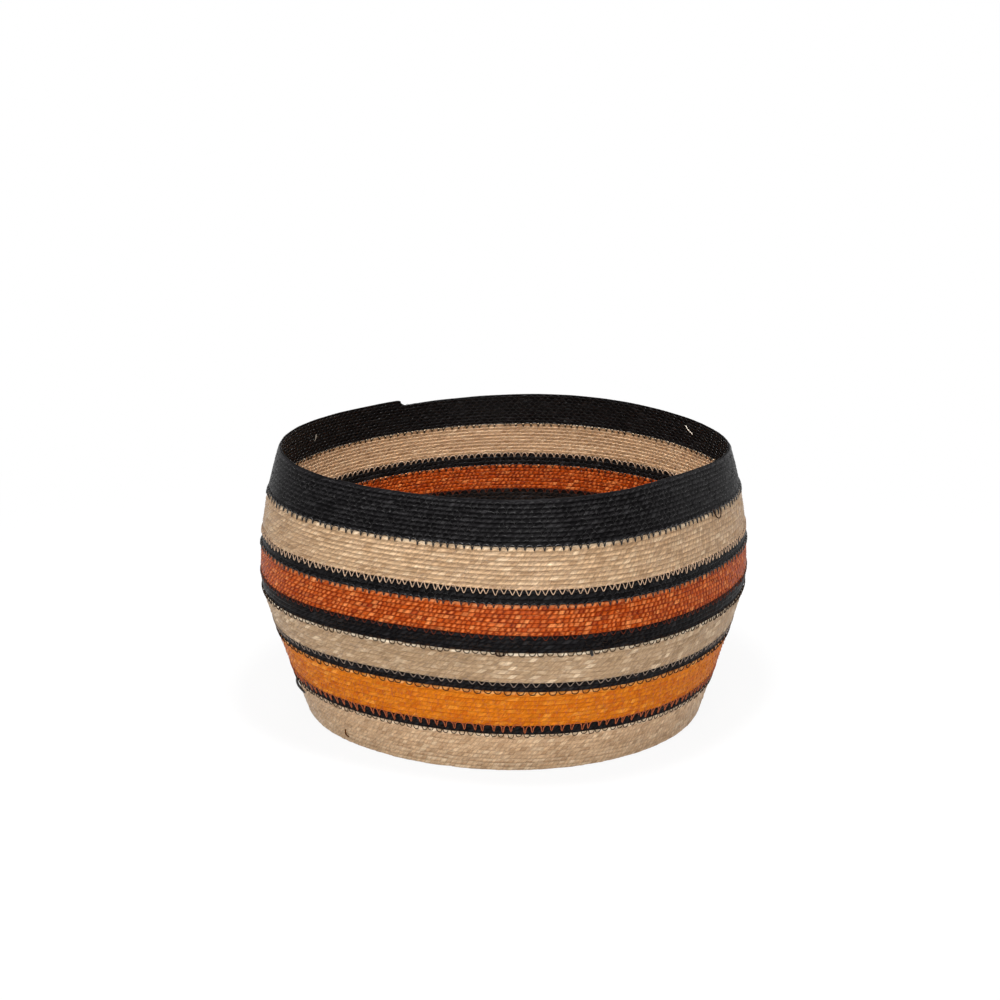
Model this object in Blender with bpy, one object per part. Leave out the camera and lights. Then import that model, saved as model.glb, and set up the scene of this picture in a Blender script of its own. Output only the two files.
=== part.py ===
"""Striped basket, wound from one narrow flat plait of seagrass.

The plait starts in the middle of the base, runs outwards in a flat spiral, turns up at the edge and climbs to the
rim as a helix, clockwise seen from above. Each turn laps over the turn below on the outside. Where a stripe
begins, the plait is cut and another colour is let in, so each stripe is a helical stretch with two cut ends.

Metres, +Z up. The basket stands on Z = 0, with the middle of its outline on the Z axis.
"""

import math

import bmesh
import bpy
from mathutils import Vector

# Wall profile, measured to the outer surface
BASE_RADIUS = 0.1320
BELLY_RADIUS = 0.1592
RIM_RADIUS = 0.1444
BELLY_HEIGHT = 0.0897
KNEE_SOFTNESS = 0.0012
WALL_THICKNESS = 0.0030

# The plait and its lap
LAP_STEP = 0.0009
BASE_EDGE_HEIGHT = 0.0042
FLOOR_ROW_WIDTH = 0.0035
FLOOR_THICKNESS = 0.0030
FLOOR_STEP = 0.0008
FLOOR_EDGE_ROUNDING = 0.0034
SEAM_GAP = 0.0003

# The height that one row, a turn of the plait, adds to the wall
ROW_HEIGHT = 0.0030

# The stripes from the bottom up: name, turns of plait, and the share of the row height that one of its rows has
BAND_SHARES = (
    ("natural_band_low", 7, 1.047),
    ("black_band_1", 2, 1.160),
    ("amber_band", 8, 1.063),
    ("black_band_2", 2, 1.147),
    ("natural_band_mid", 7, 1.027),
    ("black_band_3", 4, 0.947),
    ("rust_band", 7, 0.877),
    ("black_band_4", 3, 1.050),
    ("natural_band_top", 9, 0.913),
    ("black_rim", 10, 0.880),
)

# Stations on one turn, and those that the rim's cut end runs past the place where the stripes begin
STATIONS = 28
RIM_RUN_ON_STATIONS = 5
START_ANGLE = math.radians(188)

# Plan outline: harmonic, then cosine and sine shares of the radius at the base and again at the rim
PLAN_WAVE_SHARES = (
    (2, 0.006, 0.000, 0.019, 0.001),
    (3, -0.011, 0.005, -0.007, 0.012),
    (4, -0.002, -0.002, 0.009, 0.031),
    (5, 0.001, -0.003, 0.010, -0.003),
)

# How the turns rise and sag: harmonic, then cosine and sine shares of the height at the middle and at the rim
SAG_SHARES = (
    (1, -0.001, 0.022, -0.004, 0.002),
    (2, -0.009, 0.004, -0.004, 0.000),
    (3, 0.004, 0.003, -0.014, -0.003),
)

# The power that bends the wall in from the belly to the rim
SHOULDER_POWER = 2.06

# Steps in the rounding under the base's edge
ROUNDING_STEPS = 3

NATURAL = (0.56, 0.42, 0.27, 1.0)
BLACK = (0.012, 0.013, 0.015, 1.0)
AMBER = (0.62, 0.21, 0.02, 1.0)
RUST = (0.42, 0.10, 0.02, 1.0)
COLOURS = {"natural": NATURAL, "black": BLACK, "amber": AMBER, "rust": RUST, "base": NATURAL}
ROUGHNESS = 0.6


def band_starts():
    """The turn at which each band begins, and after them the turn at which the rim ends."""
    starts = [0.0]
    for _, turns, _ in BAND_SHARES:
        starts.append(starts[-1] + turns)
    starts[-1] += RIM_RUN_ON_STATIONS / STATIONS
    return starts


STARTS = band_starts()


def height_at(turn):
    """Height of the plait's lower edge after this many turns of the wall, before any sag."""
    height = BASE_EDGE_HEIGHT
    for (_, _, height_share), start, end in zip(BAND_SHARES, STARTS, STARTS[1:]):
        past_rim = turn > end and end == STARTS[-1]
        turns_in_band = turn - start if past_rim else min(max(turn - start, 0.0), end - start)
        height += ROW_HEIGHT * height_share * turns_in_band
    return height


FULL_HEIGHT = height_at(STARTS[-1])


def radius_at(height):
    """Radius of the round wall: a cone up to the belly, then a curve in to the rim, joined softly."""
    cone = BASE_RADIUS + (BELLY_RADIUS - BASE_RADIUS) * height / BELLY_HEIGHT
    past_belly = max(height - BELLY_HEIGHT, 0.0) / (FULL_HEIGHT - BELLY_HEIGHT)
    curve = BELLY_RADIUS - (BELLY_RADIUS - RIM_RADIUS) * past_belly**SHOULDER_POWER
    softening = math.log1p(math.exp(-abs(cone - curve) / KNEE_SOFTNESS))
    return min(cone, curve) - KNEE_SOFTNESS * softening


def plan_scale(angle, level):
    """How far the outline stands out of a circle at this angle, level running from 0 at the base to 1 at the rim."""
    scale = 1.0
    for harmonic, base_cos, base_sin, rim_cos, rim_sin in PLAN_WAVE_SHARES:
        scale += (base_cos + (rim_cos - base_cos) * level) * math.cos(harmonic * angle)
        scale += (base_sin + (rim_sin - base_sin) * level) * math.sin(harmonic * angle)
    return scale


def sag_at(angle, level):
    """How far the turns stand above their even height here."""
    middle = 4 * level * (1 - level)
    share = 0.0
    for harmonic, mid_cos, mid_sin, rim_cos, rim_sin in SAG_SHARES:
        share += (middle * mid_cos + level * rim_cos) * math.cos(harmonic * angle)
        share += (middle * mid_sin + level * rim_sin) * math.sin(harmonic * angle)
    return share * FULL_HEIGHT


def angle_at(turn):
    return START_ANGLE - 2 * math.pi * turn


def wall_point(turn, inset, lift=0.0):
    """A point on the plait's lower edge, set in from the outer surface and lifted."""
    angle = angle_at(turn)
    height = height_at(turn)
    level = height / FULL_HEIGHT
    radius = radius_at(height) * plan_scale(angle, level) - inset
    return Vector((radius * math.cos(angle), radius * math.sin(angle), height + sag_at(angle, level) + lift))


def gap_turn():
    """The share of a turn that half the gap at a cut end takes."""
    return SEAM_GAP / 2 / (2 * math.pi * BELLY_RADIUS)


def new_piece(name, bm):
    """Turns finished geometry into an object with its own material, its faces pointing out."""
    bmesh.ops.recalc_face_normals(bm, faces=bm.faces)
    bmesh.ops.triangulate(bm, faces=bm.faces)
    mesh = bpy.data.meshes.new(name)
    bm.to_mesh(mesh)
    bm.free()
    piece = bpy.data.objects.new(name, mesh)
    bpy.context.scene.collection.objects.link(piece)
    material = bpy.data.materials.new(name)
    material.use_nodes = True
    shader = material.node_tree.nodes["Principled BSDF"]
    shader.inputs["Base Color"].default_value = COLOURS[name.split("_")[0]]
    shader.inputs["Roughness"].default_value = ROUGHNESS
    mesh.materials.append(material)
    return piece


def add_face(bm, corners):
    """Adds a face, leaving out corners that are the same vertex."""
    distinct = []
    for corner in corners:
        if corner not in distinct:
            distinct.append(corner)
    bm.faces.new(distinct)


def lapped_turns(bm, keys, first, last, near, far):
    """Joins near[k] to far[k + one turn] as one turn of plait, and far[k] to near[k] as the step between turns.

    keys are the stations in order. Where they are sparse, a face takes in every station on its outer side.
    """
    for low, high in zip(keys, keys[1:]):
        if low < first or high > last:
            continue
        across = [far[k] for k in keys if low + STATIONS <= k <= high + STATIONS]
        add_face(bm, [near[low], near[high], *reversed(across)])
        if low >= first + STATIONS:
            add_face(bm, [far[low], far[high], near[high], near[low]])


def make_band(name, start, end):
    """One stripe: the plait from its first turn to its last, lapped outside, plain inside, with two cut ends."""
    bm = bmesh.new()
    last = round((end - start) * STATIONS)
    keys = list(range(last + STATIONS + 1))

    def place(key, inset, lift):
        shift = 0.0
        if key in (0, STATIONS):
            shift = gap_turn()
        elif key in (last, last + STATIONS):
            shift = -gap_turn()
        return bm.verts.new(wall_point(start + key / STATIONS + shift, inset, lift))

    def lift_of(key):
        if key <= STATIONS:
            return SEAM_GAP / 2
        return -SEAM_GAP / 2 if key >= last else 0.0

    lip = {key: place(key, 0.0, lift_of(key)) for key in keys if key <= last}
    foot = {key: place(key, LAP_STEP, lift_of(key)) for key in keys if key >= STATIONS}
    inner = {key: place(key, WALL_THICKNESS, lift_of(key)) for key in keys}
    lapped_turns(bm, keys, 0, last, lip, foot)
    for key in range(last):
        above = key + STATIONS
        bm.faces.new((inner[key], inner[above], inner[above + 1], inner[key + 1]))
    for key in range(STATIONS):
        bm.faces.new((lip[key], inner[key], inner[key + 1], lip[key + 1]))
        top = last + key
        bm.faces.new((foot[top], foot[top + 1], inner[top + 1], inner[top]))
    bm.faces.new((lip[0], foot[STATIONS], lip[STATIONS], inner[STATIONS], inner[0]))
    top = last + STATIONS
    bm.faces.new((lip[last], foot[last], inner[last], inner[top], foot[top]))
    return new_piece(name, bm)


def floor_point(turn, height):
    """A point on the floor's spiral, turn counting back from 0 where the plait leaves the base."""
    corner = wall_point(0.0, WALL_THICKNESS)
    edge_radius = BASE_RADIUS - WALL_THICKNESS - FLOOR_ROW_WIDTH / 2
    if turn > -1:
        up = turn + 1
        outer = wall_point(turn, WALL_THICKNESS, corner.z - wall_point(turn, WALL_THICKNESS).z)
        inner = floor_point_at(angle_at(turn), edge_radius, height)
        return inner.lerp(outer, up)
    return floor_point_at(angle_at(turn), edge_radius + (turn + 1) * FLOOR_ROW_WIDTH, height)


def floor_point_at(angle, radius, height):
    reach = radius * plan_scale(angle, 0.0)
    return Vector((reach * math.cos(angle), reach * math.sin(angle), height))


def make_base():
    """The base: flat below, wound in lapped turns above, its last turn standing up to carry the wall."""
    bm = bmesh.new()
    turns = int((BASE_RADIUS - WALL_THICKNESS - FLOOR_ROW_WIDTH / 2) / FLOOR_ROW_WIDTH) - 1
    first = -turns * STATIONS
    sparse_until = first // 2
    keys = [k for k in range(first, STATIONS + 1) if k >= sparse_until or (k - first) % 2 == 0]

    def shift_of(key):
        return -gap_turn() if key in (0, STATIONS) else 0.0

    def on_wall(key, inset):
        return bm.verts.new(wall_point(key / STATIONS + shift_of(key), inset, -SEAM_GAP / 2))

    foot = {k: bm.verts.new(floor_point(k / STATIONS, FLOOR_THICKNESS - FLOOR_STEP)) for k in keys if k < 0}
    lip = {
        k: bm.verts.new(floor_point(k / STATIONS, FLOOR_THICKNESS))
        for k in keys
        if first + STATIONS <= k < 0
    }
    inner = {k: on_wall(k, WALL_THICKNESS) for k in range(STATIONS + 1)}
    outer = {k: on_wall(k, LAP_STEP) for k in range(STATIONS + 1)}
    foot.update(inner)
    lip.update(inner)
    lapped_turns(bm, keys, first, 0, foot, lip)
    middle = [foot[k] for k in keys if k <= first + STATIONS]
    add_face(bm, [*middle, lip[first + STATIONS]])
    for key in range(STATIONS):
        bm.faces.new((outer[key], outer[key + 1], inner[key + 1], inner[key]))
    bm.faces.new((outer[0], inner[0], inner[STATIONS], outer[STATIONS]))
    rings = []
    for step in range(ROUNDING_STEPS + 1):
        tilt = math.pi / 2 * step / ROUNDING_STEPS
        radius = BASE_RADIUS - FLOOR_EDGE_ROUNDING * (1 - math.cos(tilt))
        height = FLOOR_EDGE_ROUNDING * (1 - math.sin(tilt))
        angles = [angle_at(key / STATIONS) for key in range(STATIONS)]
        rings.append([bm.verts.new(floor_point_at(angle, radius, height)) for angle in angles])
    top = rings[0]
    for key in range(STATIONS - 1):
        bm.faces.new((top[key], top[key + 1], outer[key + 1], outer[key]))
    bm.faces.new((top[-1], top[0], outer[0], outer[STATIONS], outer[STATIONS - 1]))
    for upper, lower in zip(rings, rings[1:]):
        for key in range(STATIONS):
            bm.faces.new((upper[key], upper[key - 1], lower[key - 1], lower[key]))
    bm.faces.new(rings[-1])
    return new_piece("base_spiral", bm)


def centre_on_axis(pieces):
    """Moves the pieces together so that the middle of their outline is on the Z axis."""
    points = [vertex.co for piece in pieces for vertex in piece.data.vertices]
    for axis in (0, 1):
        middle = (min(p[axis] for p in points) + max(p[axis] for p in points)) / 2
        for point in points:
            point[axis] -= middle
        print("XY"[axis], "moved by", round(-middle, 5))


def main():
    for old in list(bpy.data.objects):
        bpy.data.objects.remove(old)
    pieces = [make_base()]
    for (name, _, _), start, end in zip(BAND_SHARES, STARTS, STARTS[1:]):
        pieces.append(make_band(name, start, end))
    centre_on_axis(pieces)
    print("height", round(FULL_HEIGHT, 4), "triangles", sum(len(p.data.polygons) for p in pieces))


main()
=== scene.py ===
# %% [markdown]
# # A striped basket, sewn from one long plait
#
# The real basket starts as a flat plait of seagrass, a few millimetres wide and some seventy metres long.
# A machine winds it into a flat spiral for the base, turns it up at the edge and goes on winding, each
# turn lapped over the last and sewn to it with a zigzag thread. The stripes are stretches of dyed plait
# let in on the way up.
#
# The scene has a formula for the wall, the plait swept along it stripe by stripe and wound flat for the
# base, and then the sewing. Everything is in metres, with +Z up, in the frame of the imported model.

# %% Load the frame
import math
from functools import partial

import bpy
import numpy as np
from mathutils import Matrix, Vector


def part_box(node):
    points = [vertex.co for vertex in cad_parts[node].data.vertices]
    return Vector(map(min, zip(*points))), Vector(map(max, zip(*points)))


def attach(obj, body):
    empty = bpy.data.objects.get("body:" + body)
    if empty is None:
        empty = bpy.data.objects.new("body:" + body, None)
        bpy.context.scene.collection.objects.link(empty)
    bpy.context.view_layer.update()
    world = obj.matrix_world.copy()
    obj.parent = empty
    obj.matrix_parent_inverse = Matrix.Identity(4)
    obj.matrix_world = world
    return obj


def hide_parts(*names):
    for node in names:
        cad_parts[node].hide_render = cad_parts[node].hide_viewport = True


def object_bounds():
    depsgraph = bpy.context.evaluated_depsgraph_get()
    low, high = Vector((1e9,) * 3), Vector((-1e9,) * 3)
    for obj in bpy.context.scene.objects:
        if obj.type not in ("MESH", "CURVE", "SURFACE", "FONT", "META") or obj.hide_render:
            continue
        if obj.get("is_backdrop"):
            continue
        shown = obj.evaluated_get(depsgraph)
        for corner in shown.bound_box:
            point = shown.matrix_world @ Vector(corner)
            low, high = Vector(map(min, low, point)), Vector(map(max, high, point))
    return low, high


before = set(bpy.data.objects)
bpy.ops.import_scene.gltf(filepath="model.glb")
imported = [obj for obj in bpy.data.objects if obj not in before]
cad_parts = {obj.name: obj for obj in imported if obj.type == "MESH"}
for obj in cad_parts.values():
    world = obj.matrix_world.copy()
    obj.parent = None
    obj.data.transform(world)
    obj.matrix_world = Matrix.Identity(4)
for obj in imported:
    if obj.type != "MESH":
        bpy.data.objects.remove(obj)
cad_low, cad_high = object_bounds()


def in_mm(sides):
    return [round(1000 * side, 1) for side in sides]


print("frame:", len(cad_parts), "nodes,", in_mm(cad_high - cad_low), "mm")

# %% [markdown]
# ## Camera
#
# The photograph looks a little down on the basket from about one and a half metres. A long lens keeps the
# ellipse of the rim as flat as the picture has it. The camera aims above the basket's middle, because the
# basket sits low in the picture.

# %% Camera
CAMERA_DISTANCE = 1.5
CAMERA_ELEVATION = math.radians(15.5)
CAMERA_AIM = Vector((-0.0035, 0.0025, 0.1394))
LENS_MM = 81.3
SENSOR_MM = 36.0


def new_object(name, data):
    made = bpy.data.objects.new(name, data)
    bpy.context.scene.collection.objects.link(made)
    return made


def make_camera():
    data = bpy.data.cameras.new("camera")
    data.lens = LENS_MM
    data.sensor_width = SENSOR_MM
    camera = new_object("camera", data)
    back = Vector((0, -math.cos(CAMERA_ELEVATION), math.sin(CAMERA_ELEVATION)))
    camera.location = CAMERA_AIM + back * CAMERA_DISTANCE
    camera.rotation_euler = (-back).to_track_quat("-Z", "Y").to_euler()
    bpy.context.scene.camera = camera
    return camera


camera = make_camera()
print("camera at", [round(value, 4) for value in camera.location])

# %% [markdown]
# ## Node helpers
#
# A material here is a small graph. One helper adds a node and sets its inputs, with a socket linked and a
# number written. The others are short forms of the nodes used most, so that a graph reads like sums.


# %% Node helpers
def add_node(tree, kind, settings=None, **inputs):
    """Adds a shader node. Inputs go by socket name or i0, i1, and are linked or set to a value."""
    node = tree.nodes.new("ShaderNode" + kind)
    for option, value in (settings or {}).items():
        setattr(node, option, value)
    for key, value in inputs.items():
        if key[0] == "i" and key[1:].isdigit():
            socket = node.inputs[int(key[1:])]
        else:
            socket = node.inputs[key.replace("_", " ")]
        if isinstance(value, bpy.types.NodeSocket):
            tree.links.new(value, socket)
        else:
            socket.default_value = value
    return node


def output_of(tree, kind, settings=None, **inputs):
    """Adds a node and gives its first output."""
    return add_node(tree, kind, settings, **inputs).outputs[0]


def maths(tree, operation, first, second=0.0):
    return output_of(tree, "Math", {"operation": operation}, i0=first, i1=second)


def sums(tree):
    """Short forms of the maths node in one tree: times, plus and minus."""
    return [partial(maths, tree, operation) for operation in ("MULTIPLY", "ADD", "SUBTRACT")]


def between(tree, share, first, second):
    """A number between first and second."""
    return output_of(tree, "Mix", i0=share, i2=first, i3=second)


def ranged(tree, value, low, high, to_low, to_high):
    """A value eased from one range into another and held inside the second."""
    eased = {"interpolation_type": "SMOOTHSTEP"}
    return output_of(tree, "MapRange", eased, i0=value, i1=low, i2=high, i3=to_low, i4=to_high)


def noise_at(tree, x, y, z, detail):
    """Smooth noise at a place given by three values."""
    place = output_of(tree, "CombineXYZ", X=x, Y=y, Z=z)
    return output_of(tree, "TexNoise", Vector=place, Scale=1.0, Detail=detail)


# %% Colour and group helpers
def linear(red, green, blue):
    """A colour picked from a screen, 0 to 255, as the light values that a shader takes."""
    return tuple((value / 255) ** 2.2 for value in (red, green, blue)) + (1.0,)


def mixed(tree, share, first, second, blend="MIX"):
    """A colour between first and second."""
    settings = {"data_type": "RGBA", "blend_type": blend}
    return add_node(tree, "Mix", settings, i0=share, i6=first, i7=second).outputs[2]


def toned(tree, colour, tone):
    """A colour made lighter or darker by one number."""
    grey = output_of(tree, "CombineColor", i0=tone, i1=tone, i2=tone)
    return mixed(tree, 1.0, colour, grey, "MULTIPLY")


def new_group(name, inputs, outputs):
    """A node group with sockets by kind and name, what it is given, and where its results go."""
    group = bpy.data.node_groups.new(name, "ShaderNodeTree")
    for way, sockets in (("INPUT", inputs), ("OUTPUT", outputs)):
        for kind, labels in sockets.items():
            for label in labels:
                group.interface.new_socket(name=label, in_out=way, socket_type="NodeSocket" + kind)
    return group, group.nodes.new("NodeGroupInput").outputs, group.nodes.new("NodeGroupOutput").inputs


print("a screen's middle grey is", round(linear(128, 128, 128)[0], 3), "as light")

# %% [markdown]
# ## Floor and light
#
# The basket stands on plain white. The floor is lit and keeps a shadow, but to the camera it is mostly a
# white that gives no light, and wholly so further out, where it meets the backdrop unseen. It glows a
# little, like a light table, so that the lowest rows don't go dark under the belly. A large box in front
# and above is the key, a small one over the mouth reaches the far inner wall, one stands behind, and the
# world gives an even pale light. The strengths were balanced against the stripes.

# %% Floor and world
FLOOR_SIZE = 60.0
FLOOR_COLOUR = (0.97, 0.97, 0.97, 1)
WHITE = (1, 1, 1, 1)
SHADOW_NEAR = 0.24
SHADOW_FAR = 0.75
SHADOW_SHARE = 0.10
FLOOR_GLOW = 0.15
WORLD_STRENGTH = 0.49


def seen_directly(tree):
    """1 for a ray from the camera, a reflection or glass, and 0 for a ray that carries light."""
    path = add_node(tree, "LightPath").outputs
    glass = maths(tree, "MAXIMUM", path["Is Glossy Ray"], path["Is Transmission Ray"])
    return maths(tree, "MAXIMUM", path["Is Camera Ray"], glass)


def make_floor():
    bpy.ops.mesh.primitive_plane_add(size=FLOOR_SIZE)
    floor = bpy.context.object
    floor.name = "floor"
    material = bpy.data.materials.new("white_floor")
    material.use_nodes = True
    tree = material.node_tree
    tree.nodes.clear()
    place = add_node(tree, "NewGeometry").outputs["Position"]
    away = add_node(tree, "VectorMath", {"operation": "LENGTH"}, i0=place).outputs["Value"]
    shadowed = ranged(tree, away, SHADOW_NEAR, SHADOW_FAR, SHADOW_SHARE, 0.0)
    white = maths(tree, "MULTIPLY", seen_directly(tree), maths(tree, "SUBTRACT", 1.0, shadowed))
    white = maths(tree, "MAXIMUM", white, FLOOR_GLOW)
    lit = output_of(tree, "BsdfDiffuse", Color=FLOOR_COLOUR)
    glow = output_of(tree, "Emission", Color=WHITE, Strength=1.0)
    blend = output_of(tree, "MixShader", i0=white, i1=lit, i2=glow)
    add_node(tree, "OutputMaterial", Surface=blend)
    floor.data.materials.append(material)
    floor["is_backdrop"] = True


def make_world():
    world = bpy.data.worlds.new("white_room")
    world.use_nodes = True
    tree = world.node_tree
    tree.nodes.clear()
    strength = output_of(tree, "MapRange", i0=seen_directly(tree), i3=WORLD_STRENGTH, i4=1.0)
    back = output_of(tree, "Background", Color=WHITE, Strength=strength)
    add_node(tree, "OutputWorld", Surface=back)
    bpy.context.scene.world = world


make_floor()
make_world()
bpy.context.scene.view_settings.view_transform = "Standard"
print("floor", FLOOR_SIZE, "m wide")

# %% Soft boxes
# Name, place, size and power
SOFT_BOXES = (
    ("key_box", (-0.20, -1.80, 1.10), 1.2, 20.8),
    ("mouth_box", (0.00, -0.13, 0.62), 0.18, 6.0),
    ("back_box", (0.10, 2.00, 1.00), 1.3, 11.0),
)
LIGHT_AIM = Vector((0.0, 0.0, 0.08))


def make_soft_box(name, place, size, power):
    data = bpy.data.lights.new(name, "AREA")
    data.size = size
    data.energy = power
    box = new_object(name, data)
    box.location = place
    box.rotation_euler = (LIGHT_AIM - Vector(place)).to_track_quat("-Z", "Y").to_euler()


for soft_box in SOFT_BOXES:
    make_soft_box(*soft_box)
print("soft boxes:", len(SOFT_BOXES))

# %% [markdown]
# ## The wall as a formula
#
# A turn of plait is a row of the wall. The first row starts where the base turns up, and every row climbs
# by its own height, so the lower edge of the plait is one long helix. From the base up, the wall is a
# cone as far as the belly and then a curve in to the rim. No real basket is quite round: a few waves
# round the outline make this one a soft diamond, and a few more let the rows rise and sag. The formula
# takes whole arrays of points.

# %% Wall sizes
BASE_RADIUS = 0.1320
BELLY_RADIUS = 0.1592
RIM_RADIUS = 0.1444
BELLY_HEIGHT = 0.0897
KNEE_SOFTNESS = 0.0012
SHOULDER_POWER = 2.06
LAP_STEP = 0.0009
BASE_EDGE_HEIGHT = 0.0042
ROW_HEIGHT = 0.0030
START_ANGLE = math.radians(188)

# The solids have this many steps in a turn, and the rim runs on for five of them
STEPS_PER_TURN = 28
RIM_RUN_ON = 5 / STEPS_PER_TURN

# Stripes from the bottom up: name, turns, share of the row height, dye
BANDS = (
    ("natural_band_low", 7, 1.047, "natural"),
    ("black_band_1", 2, 1.160, "black"),
    ("amber_band", 8, 1.063, "amber"),
    ("black_band_2", 2, 1.147, "black"),
    ("natural_band_mid", 7, 1.027, "mid_natural"),
    ("black_band_3", 4, 0.947, "black"),
    ("rust_band", 7, 0.877, "rust"),
    ("black_band_4", 3, 1.050, "black"),
    ("natural_band_top", 9, 0.913, "natural"),
    ("black_rim", 10, 0.880, "black"),
)

# Harmonic, then cosine and sine shares of the radius at the base and at the rim
OUTLINE_WAVES = (
    (2, 0.006, 0.000, 0.019, 0.001),
    (3, -0.011, 0.005, -0.007, 0.012),
    (4, -0.002, -0.002, 0.009, 0.031),
    (5, 0.001, -0.003, 0.010, -0.003),
)

# Harmonic, then cosine and sine shares of the height in the middle and at the rim
SAG_WAVES = (
    (1, -0.001, 0.022, -0.004, 0.002),
    (2, -0.009, 0.004, -0.004, 0.000),
    (3, 0.004, 0.003, -0.014, -0.003),
)

band_turns = [turns for _, turns, _, _ in BANDS]
band_turns[-1] += RIM_RUN_ON
STARTS = np.concatenate([[0.0], np.cumsum(band_turns)])
rises = [ROW_HEIGHT * share for _, _, share, _ in BANDS]
edge_turns = np.append(STARTS, STARTS[-1] + 1)
edge_heights = BASE_EDGE_HEIGHT + np.concatenate([[0.0], np.cumsum(np.multiply(band_turns, rises))])
edge_heights = np.append(edge_heights, edge_heights[-1] + rises[-1])
FULL_HEIGHT = edge_heights[-2]
print("rows:", round(float(STARTS[-1]), 2), "height", round(float(FULL_HEIGHT), 4))


# %% Wall formula
def row_edge(turn):
    """Height of the plait's lower edge after this many turns of the wall."""
    return np.interp(turn, edge_turns, edge_heights)


def wall_radius(height):
    cone = BASE_RADIUS + (BELLY_RADIUS - BASE_RADIUS) * height / BELLY_HEIGHT
    past_belly = np.maximum(height - BELLY_HEIGHT, 0.0) / (FULL_HEIGHT - BELLY_HEIGHT)
    curve = BELLY_RADIUS - (BELLY_RADIUS - RIM_RADIUS) * past_belly**SHOULDER_POWER
    softened = np.log1p(np.exp(-np.abs(cone - curve) / KNEE_SOFTNESS))
    return np.minimum(cone, curve) - KNEE_SOFTNESS * softened


def outline(angle, level):
    """How far the outline stands out of a circle, level running from 0 at the base to 1 at the rim."""
    scale = 1.0
    for harmonic, base_cos, base_sin, rim_cos, rim_sin in OUTLINE_WAVES:
        scale = scale + (base_cos + (rim_cos - base_cos) * level) * np.cos(harmonic * angle)
        scale = scale + (base_sin + (rim_sin - base_sin) * level) * np.sin(harmonic * angle)
    return scale


def sag(angle, level):
    """How far the rows stand above their even height."""
    middle = 4 * level * (1 - level)
    share = 0.0
    for harmonic, mid_cos, mid_sin, rim_cos, rim_sin in SAG_WAVES:
        share = share + (middle * mid_cos + level * rim_cos) * np.cos(harmonic * angle)
        share = share + (middle * mid_sin + level * rim_sin) * np.sin(harmonic * angle)
    return share * FULL_HEIGHT


def angle_at(turn):
    return START_ANGLE - 2 * math.pi * turn


def round_middle(radius, angle, height):
    """Points at a radius, angle and height, moved so that the middle of the outline is the origin."""
    x = radius * np.cos(angle) - MIDDLE[0]
    y = radius * np.sin(angle) - MIDDLE[1]
    return np.stack(np.broadcast_arrays(x, y, height), axis=-1)


def wall_point(turn, rows_up, inset):
    """Points on the row that starts at this turn. rows_up is 0 at its lower edge and 1 at the next's."""
    angle = angle_at(turn)
    low = row_edge(turn)
    height = low + rows_up * (row_edge(turn + 1) - low)
    level = height / FULL_HEIGHT
    radius = wall_radius(height) * outline(angle, level) - inset
    return round_middle(radius, angle, height + sag(angle, level))


def lower_edges(first, last):
    return wall_point(np.arange(first, last, 1 / STEPS_PER_TURN), 0.0, 0.0)


MIDDLE = (0.0, 0.0)
belt = lower_edges(0, STARTS[-1])
MIDDLE = (belt.max(0) + belt.min(0))[:2] / 2
rust = [name for name, *_ in BANDS].index("rust_band")
rust_off = lower_edges(STARTS[rust], STARTS[rust + 1]).max(0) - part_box("rust_band")[1]
print("middle moved by", MIDDLE.round(5), "and rust band off its solid by", rust_off.round(5))

# %% [markdown]
# ## The plait's surface
#
# Seen close, a flat plait is two columns of strands that slant against each other. Each strand is a small
# tilted cushion, so every row of the basket looks like a string of beads. The beads are real geometry
# here: a height field over the plait, worked out from how far along and across it a point lies. Every
# strand has its own height and push in or out, because dry grass never lies evenly.

# %% Strands
# For each dye, how far its strands slant, how deep its grooves are and how many beads go round
SLANTS = dict(natural=0.95, mid_natural=1.25, black=1.15, amber=0.85, rust=0.65)
RELIEFS = dict(natural=0.00013, mid_natural=0.00013, black=0.00028, amber=0.00013, rust=0.00024)
BEADS_PER_TURN = dict(natural=246.45, mid_natural=240.4, black=226.3, amber=250.4, rust=266.1)

# Middle and half width of each column of strands, as shares of the plait's width
LOWER_COLUMN = (0.31, 0.37)
UPPER_COLUMN = (0.87, 0.30)
RIDGE_POWER = 0.62
STRAND_KINDS = 4099
LOWEST_STRAND = 0.72
STRAND_PUSH = 0.00007
HEIGHT_STRIDE = 13
PUSH_STRIDE = 7
UPPER_SEED = 977
WANDER_WAVES = 7
WANDER_CYCLES = (3.0, 38.0)
rng = np.random.default_rng(7)
strand_height = rng.uniform(LOWEST_STRAND, 1.0, STRAND_KINDS)
strand_push = rng.normal(0.0, STRAND_PUSH, STRAND_KINDS)


def column_height(phase, across, column, seed):
    """Height of one column of strands, 0 to 1, and which strand lies there."""
    centre, half_width = column
    strand = np.floor(phase + 0.5).astype(int)
    dome = np.sqrt(np.clip(1 - ((across - centre) / half_width) ** 2, 0, 1))
    ridge = np.abs(np.cos(math.pi * phase)) ** RIDGE_POWER
    return ridge * dome * strand_height[(strand * HEIGHT_STRIDE + seed) % STRAND_KINDS], strand


def strand_relief(beads, across, slant, seed):
    """Height of the plait's face, 0 in a groove to 1, and the small push of the strand in or out."""
    lower, strand = column_height(beads + slant * across, across, LOWER_COLUMN, seed)
    upper, other = column_height(beads + 0.5 - slant * across, across, UPPER_COLUMN, seed + UPPER_SEED)
    lower_push = strand_push[(strand * PUSH_STRIDE + seed) % STRAND_KINDS]
    upper_push = strand_push[other % STRAND_KINDS]
    return np.maximum(lower, upper), np.where(lower >= upper, lower_push, upper_push)


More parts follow.
